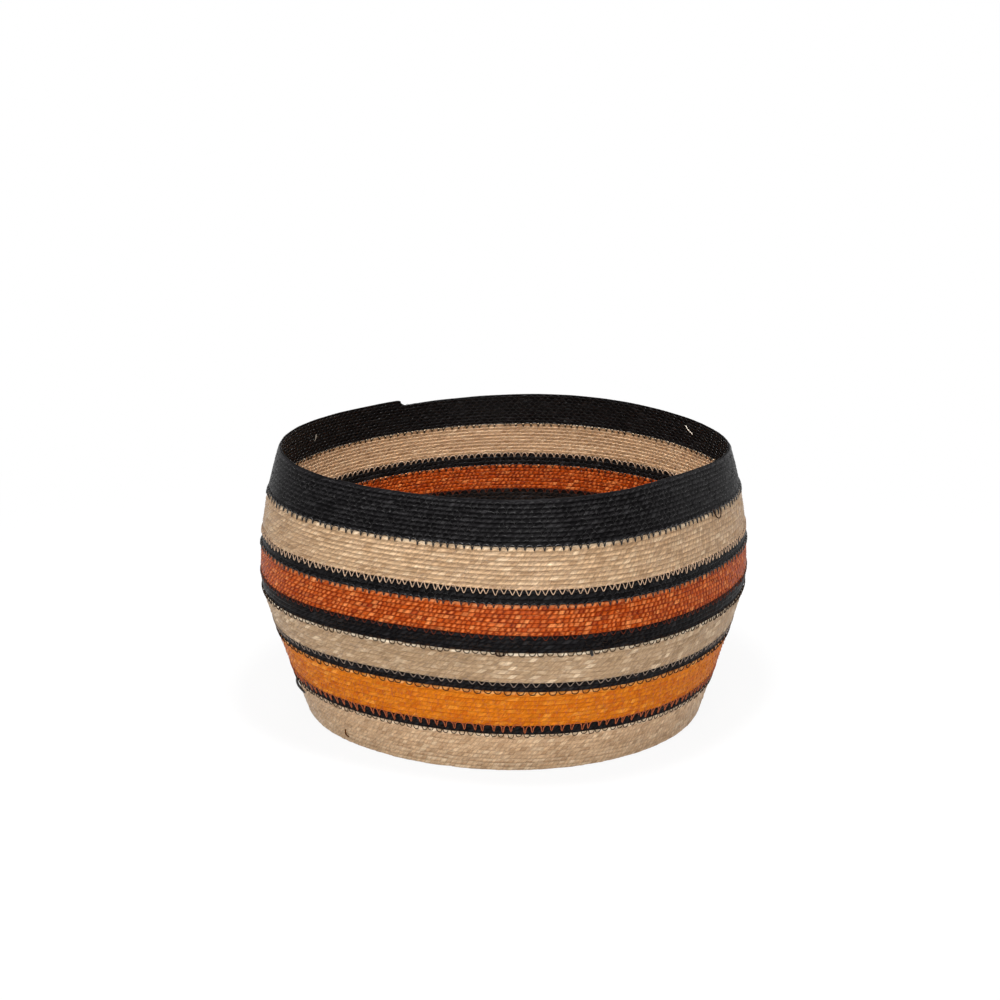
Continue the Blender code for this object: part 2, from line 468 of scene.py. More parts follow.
def wander(turns, size, draw):
    """A slow wave along the plait that doesn't repeat from turn to turn."""
    total = np.zeros_like(turns)
    for _ in range(WANDER_WAVES):
        cycles = draw.uniform(*WANDER_CYCLES)
        total += np.sin(2 * math.pi * (cycles * turns + draw.uniform())) * draw.uniform(0.4, 1.0)
    return total * size / 2.0


print("tallest strand", strand_height.max().round(3), "of", STRAND_KINDS, "kinds")

# %% [markdown]
# ## Sweeping a skin along a path
#
# Plait and thread are both a ring of points carried along a path. Blender's curve bevel could carry the
# ring, but not raise beads on it, so the rings are worked out as one array and joined into quads by index
# sums. The skin has two UV maps. One holds places along and across in the plait's own units, for the
# materials. The other cuts the long ribbon into strips and stacks them in a square, so that the colours
# can be baked.

# %% Swept skins
STRIP_FILL = 0.92
CAP_SHIFT = 0.4
QUAD_STEPS = ((0, 0), (1, 0), (1, 1), (0, 1))


def ring_faces(rings):
    """The quads between rings of points, the two flat ends, and whether they were turned to face out."""
    stations, around, _ = rings.shape
    corner = np.arange(stations * around).reshape(stations, around)
    near, far = corner[:-1], corner[1:]
    quads = np.stack([near, far, np.roll(far, -1, 1), np.roll(near, -1, 1)], axis=-1).reshape(-1, 4)
    caps = [corner[0], corner[-1][::-1]]
    points = rings.reshape(-1, 3)
    edges = points[quads[:, 1]] - points[quads[:, 0]], points[quads[:, 3]] - points[quads[:, 0]]
    outward = points[quads[:, 0]] - np.repeat(rings[:-1].mean(1), around, axis=0)
    if (np.cross(*edges) * outward).sum() < 0:
        return quads[:, ::-1], [cap[::-1] for cap in caps], True
    return quads, caps, False


def lay_places(mesh, stations, around, along, across, strips, turned):
    """Lays both UV maps over a swept mesh."""
    station = np.repeat(np.arange(stations - 1), around)
    place = np.tile(np.arange(around), stations - 1)
    steps = QUAD_STEPS[::-1] if turned else QUAD_STEPS
    own = [np.stack([along[station + i], across[place + j]], -1) for i, j in steps]
    length = math.ceil((stations - 1) / strips)
    strip = station // length
    perimeter = np.arange(around + 1) / around * STRIP_FILL
    into, rows = station - strip * length, strips + 1
    baked = [np.stack([(into + i) / length, (strip + perimeter[place + j]) / rows], -1) for i, j in steps]
    turn = np.linspace(0, 2 * math.pi, around, endpoint=False)
    disc = np.stack([np.cos(turn), np.sin(turn)], -1) * STRIP_FILL / 2 / rows
    disc += ((strips + 0.5) / rows,) * 2
    for title, corners, ends in (
        ("plait", own, [(along[0], 0.5), (along[-1], 0.5)]),
        ("OFBake", baked, [disc, disc[::-1] - (CAP_SHIFT, 0)]),
    ):
        corners = np.stack(corners, 1).reshape(-1, 2)
        ends = [np.broadcast_to(end, (around, 2)) for end in ends]
        layer = mesh.uv_layers.new(name=title)
        layer.data.foreach_set("uv", np.concatenate([corners, *ends]).ravel())


def swept_skin(name, rings, along, across, strips):
    """Joins rings, an array of stations by points around, into one closed object with flat ends."""
    stations, around, _ = rings.shape
    quads, caps, turned = ring_faces(rings)
    mesh = bpy.data.meshes.new(name)
    mesh.vertices.add(stations * around)
    mesh.vertices.foreach_set("co", rings.ravel())
    loops = np.concatenate([quads.ravel(), *caps])
    mesh.loops.add(len(loops))
    mesh.loops.foreach_set("vertex_index", loops)
    starts = np.append(np.arange(len(quads)) * 4, [4 * len(quads), 4 * len(quads) + around])
    mesh.polygons.add(len(starts))
    mesh.polygons.foreach_set("loop_start", starts)
    lay_places(mesh, stations, around, along, across, strips, turned)
    mesh.update(calc_edges=True)
    mesh.validate()
    mesh.shade_smooth()
    return new_object(name, mesh)


print("strips fill", STRIP_FILL, "of their height")

# %% [markdown]
# ## The plait
#
# The plait's section is a flat rounded strip, six points on its outer face and six on its inner face. It
# lies as the machine lays it: lower edge proud, upper edge tucked behind the next row and pressed
# thinner. On the topmost turn nothing covers the upper edge, so the plait ends at the rim. Where two rows
# lap they are pressed flat together, so no light comes through. Where a stripe ends its plait sinks
# behind the start of the next one, and the rim's own end is rounded off.

# %% Plait
PLAIT_THICKNESS = 0.00125
TUCKED_SHARE = 0.34
THINNED_SHARE = 0.32
LOWER_SCALLOP = 0.10
UPPER_SCALLOP = 0.17
ROW_WANDER = 0.030
DEPTH_WANDER = 0.00007
BEADS_AT_END = 1.8
ROUNDED_FASTER = 1.2
ROUNDED_WIDTH = 0.25
SHOWN_PAST = 0.06
LAP_FADE = 0.08
END_SINKS = 0.0008
START_STANDS = 0.00015
STATIONS_PER_BEAD = 3.5
TOP_TUCKED_SHARE = 0.03
BARE_AFTER = 0.004
END_RISES = 0.60
END_DIPS = 0.75
END_SPREAD = 0.028
RIM_END_BEADS = 1.6
RIM_END = STARTS[-1] + RIM_END_BEADS / BEADS_PER_TURN["black"]

# Share across the plait and share of its thickness, round the section from its lower edge
SECTION = (
    (0.00, 0.50), (0.07, 0.08), (0.25, 0.00), (0.43, 0.00), (0.62, 0.00), (0.82, 0.04),
    (1.00, 0.50), (0.93, 0.95), (0.76, 1.00), (0.58, 1.00), (0.38, 1.00), (0.09, 1.08),
)
section_across, section_depth = np.array(SECTION).T
OUTER_POINTS = 6

# The plait's own V: 0 to 1 across its outer face and 2 to 3 across its inner face, which mirrors it
PLAIT_V = np.concatenate([section_across[:OUTER_POINTS], 2 + (1 - section_across[OUTER_POINTS:]), [3.0]])


def tucked(turn):
    """How far the plait reaches past its own row: behind the next row, or bare on the last turn of all.

    The plait's very end stands up, and the row that it ends beside is pressed down.
    """
    on_top = np.maximum(turn - RIM_END + 1, 0)
    bare = np.minimum(on_top / BARE_AFTER, 1)
    risen = END_RISES * np.exp((turn - RIM_END) / END_SPREAD)
    dipped = END_DIPS * bare * np.exp(-on_top / END_SPREAD)
    return TUCKED_SHARE + (TOP_TUCKED_SHARE - TUCKED_SHARE) * bare + risen - dipped


def plait_inset(rows_up, depth, thickness):
    """How far in a point of the plait lies. depth is 0 on its outer face and 1 on its inner face."""
    thinned = 1 - THINNED_SHARE * rows_up / (1 + TUCKED_SHARE)
    return LAP_STEP * rows_up + depth * thickness * thinned


def plait_rings(turn, beads, place, dye, seed, thickness=PLAIT_THICKNESS, rounded_end=False, scallops=1.0):
    """Rings of the plait at these turns, beads along. place gives points from turn, rows up and inset.

    scallops is the share of the usual scallops along its two edges.
    """
    turn, beads = turn[:, None], beads[:, None]
    draw = np.random.default_rng(seed)
    rise = wander(turn, ROW_WANDER, draw)
    depth = wander(turn, DEPTH_WANDER, draw)
    outer = np.arange(len(SECTION)) < OUTER_POINTS
    face_across = np.where(outer, section_across, 1 - section_across)
    face_beads = beads + np.where(outer, 0.0, 0.5)
    relief, push = strand_relief(face_beads, face_across[None], SLANTS[dye], seed)
    from_start = np.clip((beads - beads[0]) / BEADS_AT_END, 0, 1)
    to_end = np.clip((beads[-1] - beads) / BEADS_AT_END, 0, 1)
    across = section_across[None] * np.ones_like(turn)
    sunk = END_SINKS * (1 - to_end) ** 2
    if rounded_end:
        round_off = np.sqrt(1 - (1 - np.minimum(ROUNDED_FASTER * to_end, 1)) ** 2)
        across = across * (ROUNDED_WIDTH + (1 - ROUNDED_WIDTH) * round_off)
        sunk = 0.0
    past = tucked(turn)
    wide = section_across * (1 + past)
    shown_to = 1 + SHOWN_PAST + 2 * (TUCKED_SHARE - past)
    shown_in = wide - TUCKED_SHARE + SHOWN_PAST
    shown = np.where(outer, (shown_to - wide) / LAP_FADE, shown_in / LAP_FADE)
    flat = (1 - relief) * np.clip(shown, 0, 1)
    edge = np.isclose(section_depth, 0.5)
    bite = scallops * np.where(section_across < 0.5, LOWER_SCALLOP, -UPPER_SCALLOP)
    scallop = np.where(edge, (1 - relief) * bite, 0.0)
    rows_up = (across + scallop) * (1 + past) + rise
    face = np.where(edge, 0.0, np.where(outer, 1.0, -1.0))
    inset = plait_inset(rows_up, section_depth[None], thickness) + face * (flat * RELIEFS[dye] + push)
    inset = inset + depth + sunk - START_STANDS * (1 - from_start) ** 2
    return place(turn, rows_up, inset)


print("section of", len(SECTION), "points,", OUTER_POINTS, "of them outside")

# %% [markdown]
# ## Finish: dry grass
#
# All five plaits share one effect, so it is a node group with the colours as inputs. It finds the strand
# that a point lies on with the sums that shaped the beads, gives each strand its own tone from white
# noise, draws fine streaks along it, paints a highlight on its crown, and paints shade, with a little
# dust, into the grooves and along the lapped edges of the rows. Old grass varies in gloss from strand to
# strand, so roughness comes out of the group too. Crest is painted light: the row under a black stripe
# swells between the stitches that hold it down and is painted paler there, as if it caught the light,
# and so, a little, are the rows at the foot, against the shade under the belly.

# %% Strand places
# Where the upper column begins, the middle of what shows, the covered lip with its painted shade and
# roughness, and the crest that is painted lighter
COLUMN_BORDER = 0.64
SHOWN_MIDDLE = 0.38
LIP_START = 0.82
LIP_SHADE = 0.45
LIP_ROUGHNESS = 0.95
CREST_START = 0.25
CREST_FULL = 0.45


def strand_places(group, given):
    """Finds a point's strand by the sums that shaped the beads, and draws three chances for it."""
    times, plus, minus = sums(group)
    place = add_node(group, "SeparateXYZ", i0=given["Plait"]).outputs
    inside = maths(group, "GREATER_THAN", place["Y"], 1.5)
    across = minus(place["Y"], times(inside, 2.0))
    beads = plus(place["X"], times(inside, 0.5))
    lean = times(given["Slant"], across)
    lower = plus(beads, lean)
    upper = minus(plus(beads, 0.5), lean)
    in_upper = maths(group, "GREATER_THAN", across, COLUMN_BORDER)
    phase = between(group, in_upper, lower, upper)
    strand = maths(group, "FLOOR", plus(phase, 0.5))
    off_ridge = times(maths(group, "ABSOLUTE", minus(phase, strand)), 2.0)
    column = plus(in_upper, times(inside, 2.0))
    cell = output_of(group, "CombineXYZ", X=strand, Y=column, Z=given["Seed"])
    noise = add_node(group, "TexWhiteNoise", {"noise_dimensions": "3D"}, Vector=cell)
    chance = add_node(group, "SeparateColor", i0=noise.outputs["Color"]).outputs
    return place, inside, across, phase, strand, off_ridge, chance


# %% Strand finish group
STRAND_INPUTS = {
    "Vector": ["Plait"],
    "Color": ["Main", "Pale", "Deep", "Worn"],
    "Float": [
        "Slant", "Seed", "Crest", "Pale Share", "Groove",
        "Edge", "Crown", "Runs", "Rough Low", "Rough High",
    ],
}
STRAND_OUTPUTS = {"Color": ["Color"], "Float": ["Roughness", "Height"]}


def make_strand_group():
    group, given, end = new_group("Seagrass strands", STRAND_INPUTS, STRAND_OUTPUTS)
    times, plus, minus = sums(group)
    within = partial(ranged, group)
    place, inside, across, phase, strand, off_ridge, chance = strand_places(group, given)
    streak = noise_at(group, times(phase, 5.5), times(across, 1.6), times(strand, 3.7), 3.0)
    patch = noise_at(group, times(place["X"], 0.13), place["Y"], given["Seed"], 2.0)
    runs = noise_at(group, times(place["X"], 0.45), times(place["Y"], 0.8), plus(given["Seed"], 5.0), 1.0)
    runs = times(within(runs, 0.52, 0.70, 0.0, 1.0), given["Runs"])
    # A painted highlight on each strand's crown, round the middle of what shows
    off_middle = maths(group, "ABSOLUTE", minus(across, SHOWN_MIDDLE))
    crown_highlight = times(within(off_middle, 0.08, 0.32, 1.0, 0.0), within(off_ridge, 0.1, 0.8, 1.0, 0.0))
    crown_highlight = times(crown_highlight, within(chance["Blue"], 0.1, 0.8, 0.2, 1.0))
    crown_highlight = times(crown_highlight, given["Crown"])
    # Painted light on the crest: rows that bulge under a black stripe, and the rows at the foot, are
    # painted paler
    outer_crest = within(across, CREST_START, CREST_FULL, 0.0, 1.0)
    inner_crest = within(across, CREST_START, CREST_FULL, 1.0, 0.0)
    crest = between(group, inside, outer_crest, inner_crest)
    crest = times(crest, within(chance["Red"], 0.0, 1.0, 0.1, 1.0))
    crest = times(crest, given["Crest"])
    pale = within(chance["Red"], minus(1.0, given["Pale Share"]), 1.0, 0.0, 1.0)
    deep = within(chance["Green"], 0.62, 1.0, 0.0, 0.80)
    colour = mixed(group, maths(group, "MAXIMUM", pale, runs), given["Main"], given["Pale"])
    colour = mixed(group, deep, colour, given["Deep"])
    colour = mixed(group, within(patch, 0.35, 0.75, 0.0, 0.35), colour, given["Deep"])
    colour = mixed(group, crown_highlight, colour, given["Pale"])
    colour = mixed(group, crest, colour, given["Worn"])
    # Painted shade in the grooves between strands, with a little dust
    groove = times(within(off_ridge, 0.45, 1.0, 0.0, 1.0), given["Groove"])
    # Painted shadow under each row's lapped lower edge and above its tucked upper edge, and painted shade
    # on the covered lip
    lower_edge_shade = within(across, 0.0, 0.10, 1.0, 0.0)
    upper_edge_shade = within(across, 0.60, 0.76, 0.0, 1.0)
    edge = minus(1.0, times(maths(group, "MAXIMUM", lower_edge_shade, upper_edge_shade), given["Edge"]))
    edge = times(edge, within(across, LIP_START, 1.0, 1.0, LIP_SHADE))
    tone = times(within(streak, 0.30, 0.70, 0.74, 1.22), times(minus(1.0, groove), edge))
    # On the crest the painted shade gives way to a painted brightening
    colour = toned(group, colour, between(group, crest, tone, 1.1))
    gloss = plus(chance["Blue"], times(minus(streak, 0.5), 0.6))
    rough = output_of(group, "MapRange", i0=gloss, i3=given["Rough Low"], i4=given["Rough High"])
    inner_lip = times(within(across, 0.0, 0.14, LIP_ROUGHNESS, 0.0), inside)
    outer_lip = within(across, LIP_START, 1.0, 0.0, LIP_ROUGHNESS)
    rough = maths(group, "MAXIMUM", rough, maths(group, "MAXIMUM", inner_lip, outer_lip))
    for name, made in (("Color", colour), ("Roughness", rough), ("Height", streak)):
        group.links.new(made, end[name])
    return group


strand_group = make_strand_group()
print(strand_group.name, "has", len(strand_group.nodes), "nodes")

# %% [markdown]
# ## Five plaits
#
# The undyed plait is straw with some paler strands. The middle natural band has a duller plait of its own,
# painted darker as shade too, because that band faces a little down under the belly. The black plait shows
# its beads as faint glints, partly its own gloss and partly painted highlights. The two oranges differ in
# depth, and the darker one has a painted highlight on each bead.

# %% Plait materials
PLAIT_SPECULAR = 0.2
PLAIT_BUMP = (0.6, 0.00012)

# Colours as picked from a screen, and the amounts of the group's effects. The crest is painted in the
# lightened colour, as if it caught the light
PLAIT_LOOKS = {
    "natural": dict(
        Main=(183, 151, 117), Pale=(203, 175, 142), Deep=(148, 116, 84), Worn=(224, 203, 174), Seed=1.0,
        Pale_Share=0.30, Groove=0.24, Edge=0.0, Crown=0.08, Runs=0.4, Rough_Low=0.34, Rough_High=0.62,
    ),
    # The middle band's plait is duller, and painted darker as shade because that band faces a little down
    "mid_natural": dict(
        Main=(158, 131, 101), Pale=(200, 176, 146), Deep=(132, 106, 78), Worn=(234, 218, 192), Seed=5.0,
        Pale_Share=0.20, Groove=0.12, Edge=0.12, Crown=0.08, Runs=0.5, Rough_Low=0.40, Rough_High=0.65,
    ),
    # The black plait's glints are partly painted highlights on the bead crowns
    "black": dict(
        Main=(26, 25, 26), Pale=(45, 44, 45), Deep=(15, 14, 15), Worn=(45, 44, 45), Seed=2.0,
        Pale_Share=0.15, Groove=0.42, Edge=0.24, Crown=0.6, Runs=0.3, Rough_Low=0.25, Rough_High=0.42,
        specular=0.026,
    ),
    "amber": dict(
        Main=(184, 101, 19), Pale=(206, 131, 48), Deep=(168, 80, 14), Worn=(216, 160, 102), Seed=3.0,
        Pale_Share=0.20, Groove=0.11, Edge=0.20, Crown=0.15, Runs=0.5, Rough_Low=0.38, Rough_High=0.62,
        specular=0.05,
    ),
    # The rust's bright bead centres are painted highlights on the crowns
    "rust": dict(
        Main=(168, 67, 13), Pale=(222, 130, 72), Deep=(120, 34, 6), Worn=(224, 148, 98), Seed=4.0,
        Pale_Share=0.20, Groove=0.46, Edge=0.55, Crown=0.60, Runs=0.22, Rough_Low=0.34, Rough_High=0.55,
        specular=0.07,
    ),
}


def fibre_material(name, effect, specular, bump, **looks):
    """A material with colour and fine relief from a group, and its shader and group node."""
    material = bpy.data.materials.new(name)
    material.use_nodes = True
    tree = material.node_tree
    shader = tree.nodes["Principled BSDF"]
    uv = output_of(tree, "UVMap", {"uv_map": "plait"})
    looks = {key: linear(*look) if isinstance(look, tuple) else look for key, look in looks.items()}
    fibres = add_node(tree, "Group", {"node_tree": effect}, Plait=uv, **looks)
    relief = {"Strength": bump[0], "Distance": bump[1], "Height": fibres.outputs["Height"]}
    tree.links.new(output_of(tree, "Bump", **relief), shader.inputs["Normal"])
    tree.links.new(fibres.outputs["Color"], shader.inputs["Base Color"])
    shader.inputs["Specular IOR Level"].default_value = specular
    return material, shader, fibres


def plait_material(dye, specular=PLAIT_SPECULAR, **looks):
    looks["Slant"] = SLANTS[dye]
    name = dye + "_seagrass"
    material, shader, strands = fibre_material(name, strand_group, specular, PLAIT_BUMP, **looks)
    tree = material.node_tree
    crest = add_node(tree, "Attribute", {"attribute_name": "crest"}).outputs["Fac"]
    tree.links.new(crest, strands.inputs["Crest"])
    tree.links.new(strands.outputs["Roughness"], shader.inputs["Roughness"])
    return material


PLAITS = {dye: plait_material(dye, **looks) for dye, looks in PLAIT_LOOKS.items()}
print("materials:", [material.name for material in PLAITS.values()])

# %% [markdown]
# ## Stripes
#
# Each stripe is one piece of plait from its first cut end to its last, so each takes the place of one
# node of the frame. Beads per turn differ a little between stripes, as they do where plaits come from
# different hands, and they aren't whole numbers, or the beads of one turn would stand in line with the
# next turn's. The foot's rows are painted paler, against the shade they sit in under the belly.

# %% Stripes
# How much painted light each dye takes on its crest row, and the painted light at the foot
CREST_PAINTED_LIGHT = dict(natural=0.65, mid_natural=0.85, black=0.0, amber=0.75, rust=0.60)
CREST_FADE_BEADS = 4
FOOT_PAINTED_LIGHT = 0.28
FOOT_TURNS = 2
STRIPS_PER_TURN = 3
RUN_ON_BEADS = 2.0
BEAD_DRIFT = 0.5
PLAIT_SEED = 100
DRIFT_SEED = 300


def hand_in(piece, material):
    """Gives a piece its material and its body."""
    piece.data.materials.append(material)
    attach(piece, "root")


def dress_plait(name, rings, along, strips, dye, node, crest=None):
    """Makes a piece of plait that stands for a node of the frame. crest says how much painted light each
    ring gets.
    """
    plait = swept_skin(name, rings, along, PLAIT_V, strips)
    if crest is not None:
        layer = plait.data.attributes.new("crest", "FLOAT", "POINT")
        layer.data.foreach_set("value", np.repeat(crest, len(SECTION)))
    hand_in(plait, PLAITS[dye])
    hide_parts(node)
    print(name, len(plait.data.polygons), "faces")


def stations_from(first, last, per_turn):
    return np.linspace(first, last, round((last - first) * per_turn * STATIONS_PER_BEAD) + 1)


def make_stripe(number):
    name, turns, _, dye = BANDS[number]
    first, last = STARTS[number], STARTS[number + 1]
    topmost = number == len(BANDS) - 1
    per_turn = BEADS_PER_TURN[dye]
    turn = stations_from(first, last + (RIM_END_BEADS if topmost else RUN_ON_BEADS) / per_turn, per_turn)
    beads = turn * per_turn + wander(turn, BEAD_DRIFT, np.random.default_rng(DRIFT_SEED + number))
    rings = plait_rings(turn, beads, wall_point, dye, PLAIT_SEED + number, rounded_end=topmost)
    # Painted light on the last turn under the next stripe, and on the first turns at the foot against
    # their shade
    crest = CREST_PAINTED_LIGHT[dye] * np.clip((turn - last + 1) * per_turn / CREST_FADE_BEADS, 0, 1)
    crest = np.maximum(crest, FOOT_PAINTED_LIGHT * np.clip(FOOT_TURNS - turn, 0, 1))
    dress_plait(name + "_plait", rings, beads, STRIPS_PER_TURN * turns, dye, name, crest=crest)


for number in range(len(BANDS)):
    make_stripe(number)

# %% [markdown]
# ## Base
#
# The base is the same plait wound flat. To sweep it with the same code, the underside is one profile: a
# distance from the middle runs out along the floor, round the edge and up the wall, and gives a point and
# the way in from it. A turn of the spiral moves that distance on by the width of a row. The turns grow
# longer from the middle out, so the beads are spaced by length and not by angle. The last turns show from
# outside, so they are a piece of their own, as fine as the wall.

# %% Base
FLOOR_ROW_WIDTH = 0.0035
FLOOR_PLAIT_THICKNESS = 0.0019
EDGE_ROUNDING = 0.0034
MIDDLE_HOLE = 0.0006
FLOOR_BEAD_LENGTH = 0.0052
FLOOR_STATIONS_PER_BEAD = 3
FLOOR_STRIPS = 40
EDGE_STRIPS = 12
EDGE_TURNS = 3
EDGE_SCALLOPS = 0.3
BASE_SEED = 90
edge_middle = wall_radius(EDGE_ROUNDING) - EDGE_ROUNDING
edge_length = EDGE_ROUNDING * math.pi / 2
BASE_DISTANCE = edge_middle + edge_length + BASE_EDGE_HEIGHT - EDGE_ROUNDING
BASE_TURNS = (BASE_DISTANCE - MIDDLE_HOLE) / FLOOR_ROW_WIDTH


def underside(distance):
    """Radius and height of the outer surface at a distance from the middle, and the way in there."""
    turned = np.clip((distance - edge_middle) / EDGE_ROUNDING, 0, math.pi / 2)
    up_wall = np.maximum(distance - edge_middle - edge_length, 0)
    height = EDGE_ROUNDING * (1 - np.cos(turned)) + up_wall
    flat_radius = np.minimum(distance, edge_middle) + EDGE_ROUNDING * np.sin(turned)
    radius = np.where(up_wall > 0, wall_radius(height), flat_radius)
    return radius, height, -np.sin(turned), np.cos(turned)


def base_point(turn, rows_up, inset):
    """Points on the base's spiral. turn is below 0 in the middle and 0 where the wall begins."""
    angle = angle_at(turn)
    distance = BASE_DISTANCE + (turn + rows_up) * FLOOR_ROW_WIDTH
    radius, height, inward_radius, inward_height = underside(np.maximum(distance, 0))
    level = height / FULL_HEIGHT
    radius = np.maximum(radius * outline(angle, level) + inward_radius * inset, 0.0)
    height = np.maximum(height + sag(angle, level) + inward_height * inset, 0.0)
    return round_middle(radius, angle, height)


def length_wound(turns):
    """Length of the spiral over this many turns from the middle."""
    return 2 * math.pi * (MIDDLE_HOLE * turns + FLOOR_ROW_WIDTH * turns**2 / 2)


def evenly_wound(last, step):
    """Turns a step of length apart, from the middle out to the turn last. The wall begins at turn 0."""
    length = np.arange(0, length_wound(BASE_TURNS + last), step)
    hole = MIDDLE_HOLE / FLOOR_ROW_WIDTH
    return np.sqrt(hole**2 + length / (math.pi * FLOOR_ROW_WIDTH)) - hole - BASE_TURNS


def make_base():
    turn = evenly_wound(-EDGE_TURNS, FLOOR_BEAD_LENGTH / FLOOR_STATIONS_PER_BEAD)
    beads = np.arange(len(turn)) / FLOOR_STATIONS_PER_BEAD
    rings = plait_rings(turn, beads, base_point, "natural", BASE_SEED, thickness=FLOOR_PLAIT_THICKNESS)
    dress_plait("base_floor_plait", rings, beads, FLOOR_STRIPS, "natural", "base_spiral")
    per_turn = BEADS_PER_TURN["natural"]
    turn = stations_from(turn[-1] - BEADS_AT_END / per_turn, RUN_ON_BEADS / per_turn, per_turn)
    beads = turn * per_turn
    rings = plait_rings(turn, beads, base_point, "natural", BASE_SEED + 1, scallops=EDGE_SCALLOPS)
    # The base's edge rows get the same painted light as the foot of the wall
    edge_painted_light = np.full(len(turn), FOOT_PAINTED_LIGHT)
    dress_plait("base_edge_plait", rings, beads, EDGE_STRIPS, "natural", "base_spiral", crest=edge_painted_light)


make_base()
print("base:", round(BASE_TURNS, 1), "turns,", round(length_wound(BASE_TURNS), 1), "m of plait")

# %% [markdown]
# ## Thread finish
#
# Sewing thread is two or three yarns twisted together. The twist is finer than the picture shows, but
# close by it breaks up the shine, so a small group tilts stripes round the tube and darkens the lines
# between the yarns. Loose fibres of grass are tubes too, so they share it.

# %% Thread finish
THREAD_BUMP = (0.5, 0.00005)
TWISTS = 9.0
YARN_SHADE = 0.35
TWIST_INPUTS = {"Vector": ["Plait"], "Color": ["Main"], "Float": ["Twists", "Shade"]}


def make_twist_group():
    group, given, end = new_group("Thread twist", TWIST_INPUTS, {"Color": ["Color"], "Float": ["Height"]})
    times, plus, minus = sums(group)
    place = add_node(group, "SeparateXYZ", i0=given["Plait"]).outputs
    round_it = plus(times(place["X"], given["Twists"]), place["Y"])
    yarn = maths(group, "PINGPONG", round_it, 0.5)
    height = maths(group, "POWER", times(yarn, 2.0), 0.6)
    noise = output_of(group, "TexNoise", Vector=given["Plait"], Scale=0.7, Detail=2.0)
    gap = times(minus(1.0, height), given["Shade"])
    tone = minus(ranged(group, noise, 0.3, 0.7, 0.9, 1.1), gap)
    group.links.new(toned(group, given["Main"], tone), end["Color"])
    group.links.new(height, end["Height"])
    return group


def thread_material(name, colour, roughness, specular):
    looks = dict(Main=colour, Twists=TWISTS, Shade=YARN_SHADE)
    material, shader, _ = fibre_material(name, twist_group, specular, THREAD_BUMP, **looks)
    shader.inputs["Roughness"].default_value = roughness
    return material


twist_group = make_twist_group()
THREADS = {
    "natural": thread_material("natural_thread", (180, 151, 126), 0.60, 0.1),
    "mid_natural": thread_material("old_natural_thread", (144, 126, 112), 0.60, 0.1),
    "pale_natural": thread_material("pale_fibre", (240, 228, 210), 0.60, 0.1),
    "brown_natural": thread_material("brown_fibre", (92, 52, 18), 0.60, 0.05),
    "black": thread_material("black_thread", (27, 25, 25), 0.30, 0.32),
    "old_black": thread_material("old_black_thread", (52, 39, 31), 0.60, 0.04),
    "amber": thread_material("amber_thread", (172, 92, 58), 0.60, 0.1),
    "rust": thread_material("rust_thread", (92, 42, 26), 0.55, 0.05),
}
print(twist_group.name, "in", len(THREADS), "materials")

# %% [markdown]
# ## Sewing
#
# A heavy machine sews each turn to the one below with a zigzag, in thread of the upper plait's colour.
# The thread is a tube along a zigzag path: up on the row, over its lower edge, and down to a point on the
# row below. Where two colours meet it shows. Straw and rust thread hang in open points over black. The
# upper black thread bites notches into rust and straw, and the lower black one, worn to brown, lies in
# round loops. Amber thread is pulled tight, so the black below swells between its points. Between turns
# of one colour the thread is pulled into the grass, and only the upper black glints. Inside, the same
# seams cross the edge that laps the other way.

# %% Stitches
# Share of a stitch along, and share from its upper point to its lower one
OPEN_STITCH = (
    (0.07, 0.03), (0.20, 0.34), (0.42, 0.93), (0.50, 1.00), (0.58, 0.93), (0.80, 0.34), (0.93, 0.03),
)
SIMPLE_STITCH = ((0.00, 0.00), (0.25, 0.50), (0.50, 1.00), (0.75, 0.50))


def mirrored(*half):
    """A whole stitch from its falling half."""
    return half + ((0.50, 1.00),) + tuple((1 - along, down) for along, down in reversed(half))


PULLED_STITCH = mirrored((0.08, 0.02), (0.28, 0.20), (0.37, 0.36), (0.43, 0.82))
NOTCH_STITCH = mirrored((0.10, 0.02), (0.33, 0.22), (0.42, 0.45), (0.455, 0.80))
LOOP_STITCH = mirrored((0.12, 0.02), (0.17, 0.42), (0.24, 0.76), (0.36, 0.96))

# How each stripe is sewn: thread, stitch, its length, its reach below the edge, the thread's radius
SEWING = {
    "natural_band_low": ("natural", OPEN_STITCH, 0.0053, 0.0025, 0.00024),
    "black_band_1": ("old_black", LOOP_STITCH, 0.0051, 0.0015, 0.00028),
    "amber_band": ("amber", PULLED_STITCH, 0.0062, 0.0042, 0.00027),
    "black_band_2": ("old_black", LOOP_STITCH, 0.0066, 0.0019, 0.00032),
    "natural_band_mid": ("mid_natural", OPEN_STITCH, 0.0067, 0.0023, 0.00021),
    "black_band_3": ("old_black", LOOP_STITCH, 0.0057, 0.0017, 0.00032),
    "rust_band": ("rust", OPEN_STITCH, 0.0062, 0.0021, 0.00021),
    "black_band_4": ("black", NOTCH_STITCH, 0.0053, 0.0018, 0.00034),
    "natural_band_top": ("natural", OPEN_STITCH, 0.0049, 0.0028, 0.00026),
    "black_rim": ("black", NOTCH_STITCH, 0.0052, 0.0020, 0.00036),
}
STITCH_UP = 0.0012
STITCH_JITTER = 0.00030
UPPER_JITTER_SHARE = 0.4
STITCH_SHIFT = 0.10
REACH_WANDER = 0.10


